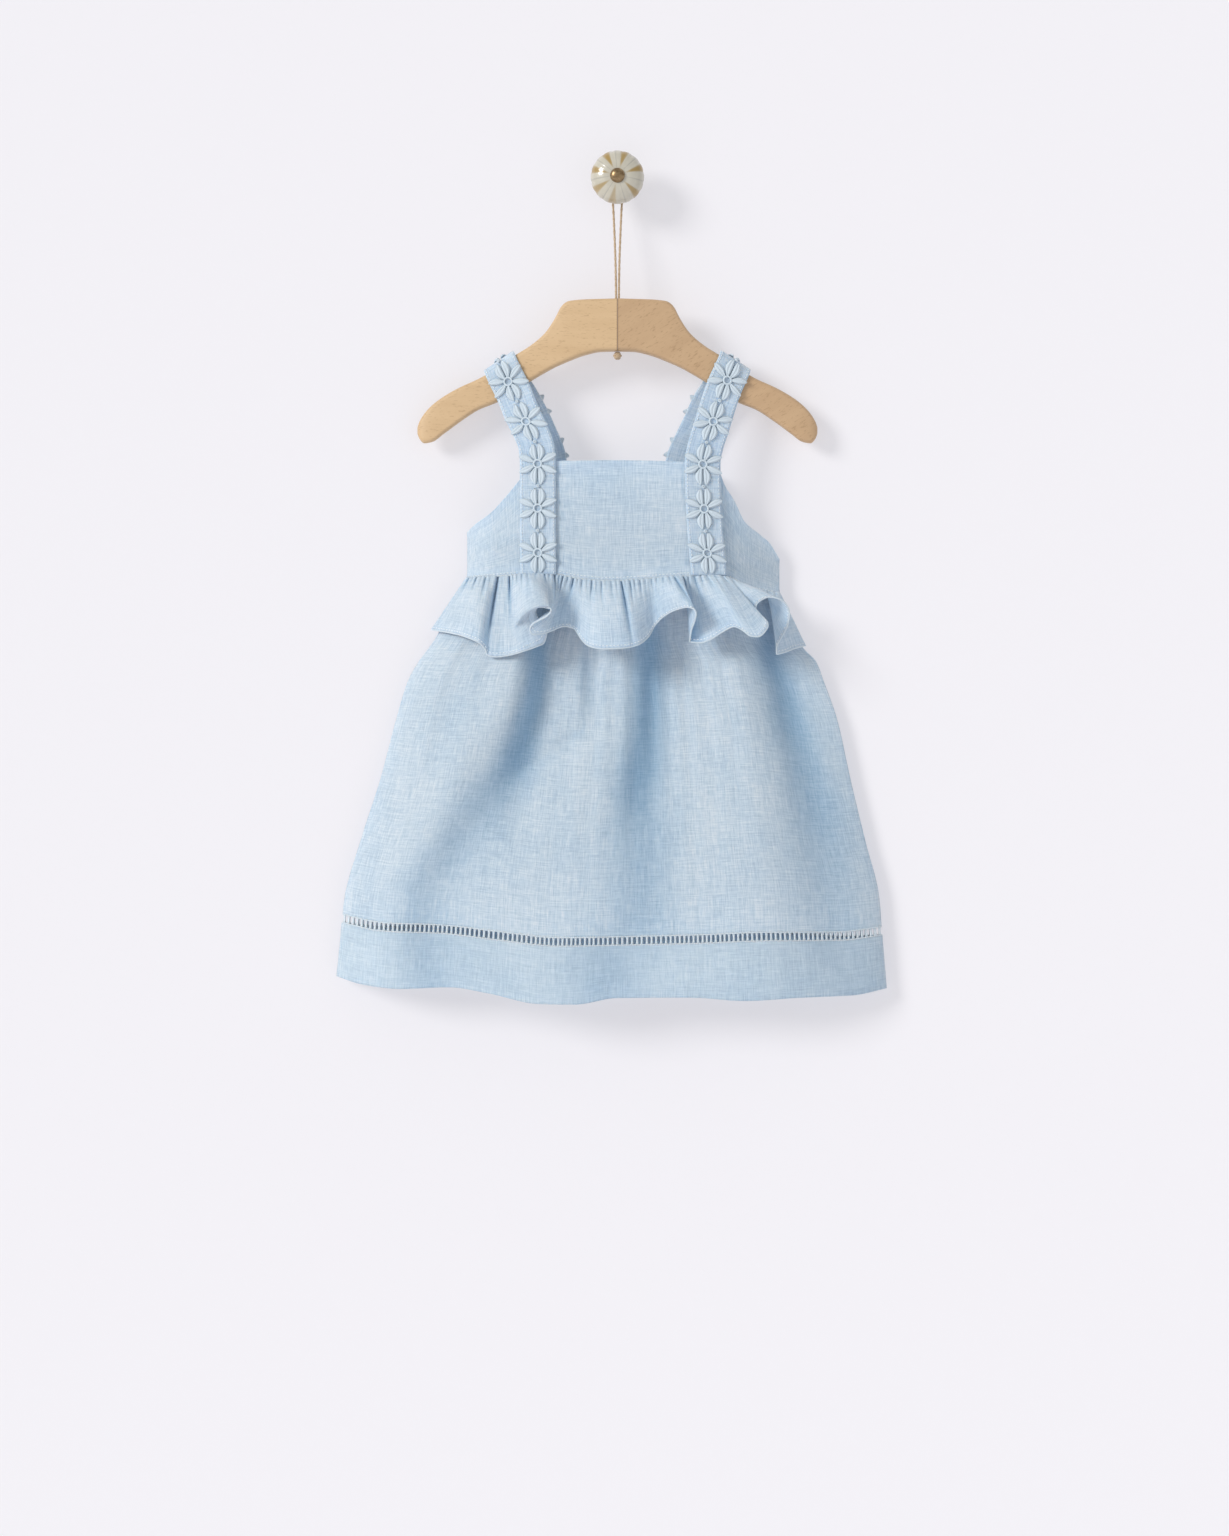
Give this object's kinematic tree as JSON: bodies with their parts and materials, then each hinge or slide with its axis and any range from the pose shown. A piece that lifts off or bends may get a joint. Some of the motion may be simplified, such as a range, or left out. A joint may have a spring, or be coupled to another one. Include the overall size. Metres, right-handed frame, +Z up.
{
  "type": "baby's pinafore dress on a wooden hanger hung from a wall knob",
  "caption": "Sleeveless linen pinafore dress with wide straps, flower trim, gathered waist ruffle and full skirt, on a wooden hanger hung by twine from a round wall knob.",
  "frame": {"origin": "centre of the wall knob's flat back, where its plate meets the wall", "axes": "+X to the viewer's right, +Y into the wall, +Z up; the dress hangs below the knob in front of the wall"},
  "size_m": [0.414, 0.0665, 0.6379],
  "materials": {
    "linen": "matt plain weave",
    "trim_thread": "thick embroidered thread",
    "beech": "oiled beech",
    "jute": "rough twisted jute",
    "ceramic": null,
    "brass": "aged brass"
  },
  "bodies": {
    "root": {"bodice_front": "linen", "bodice_back": "linen", "skirt_front": "linen", "ladder_front": "linen", "hem_front": "linen", "skirt_back": "linen", "ladder_back": "linen", "hem_back": "linen", "ruffle_front": "linen", "ruffle_back": "linen", "strap_left": "linen", "strap_right": "linen", "trim_left": "trim_thread", "trim_right": "trim_thread", "hanger_left": "beech", "hanger_right": "beech", "twine_loop": "jute", "twine_knot": "jute", "wall_knob": "ceramic", "wall_plate": "brass", "knob_screw": "brass"}
  },
  "joints": []
}
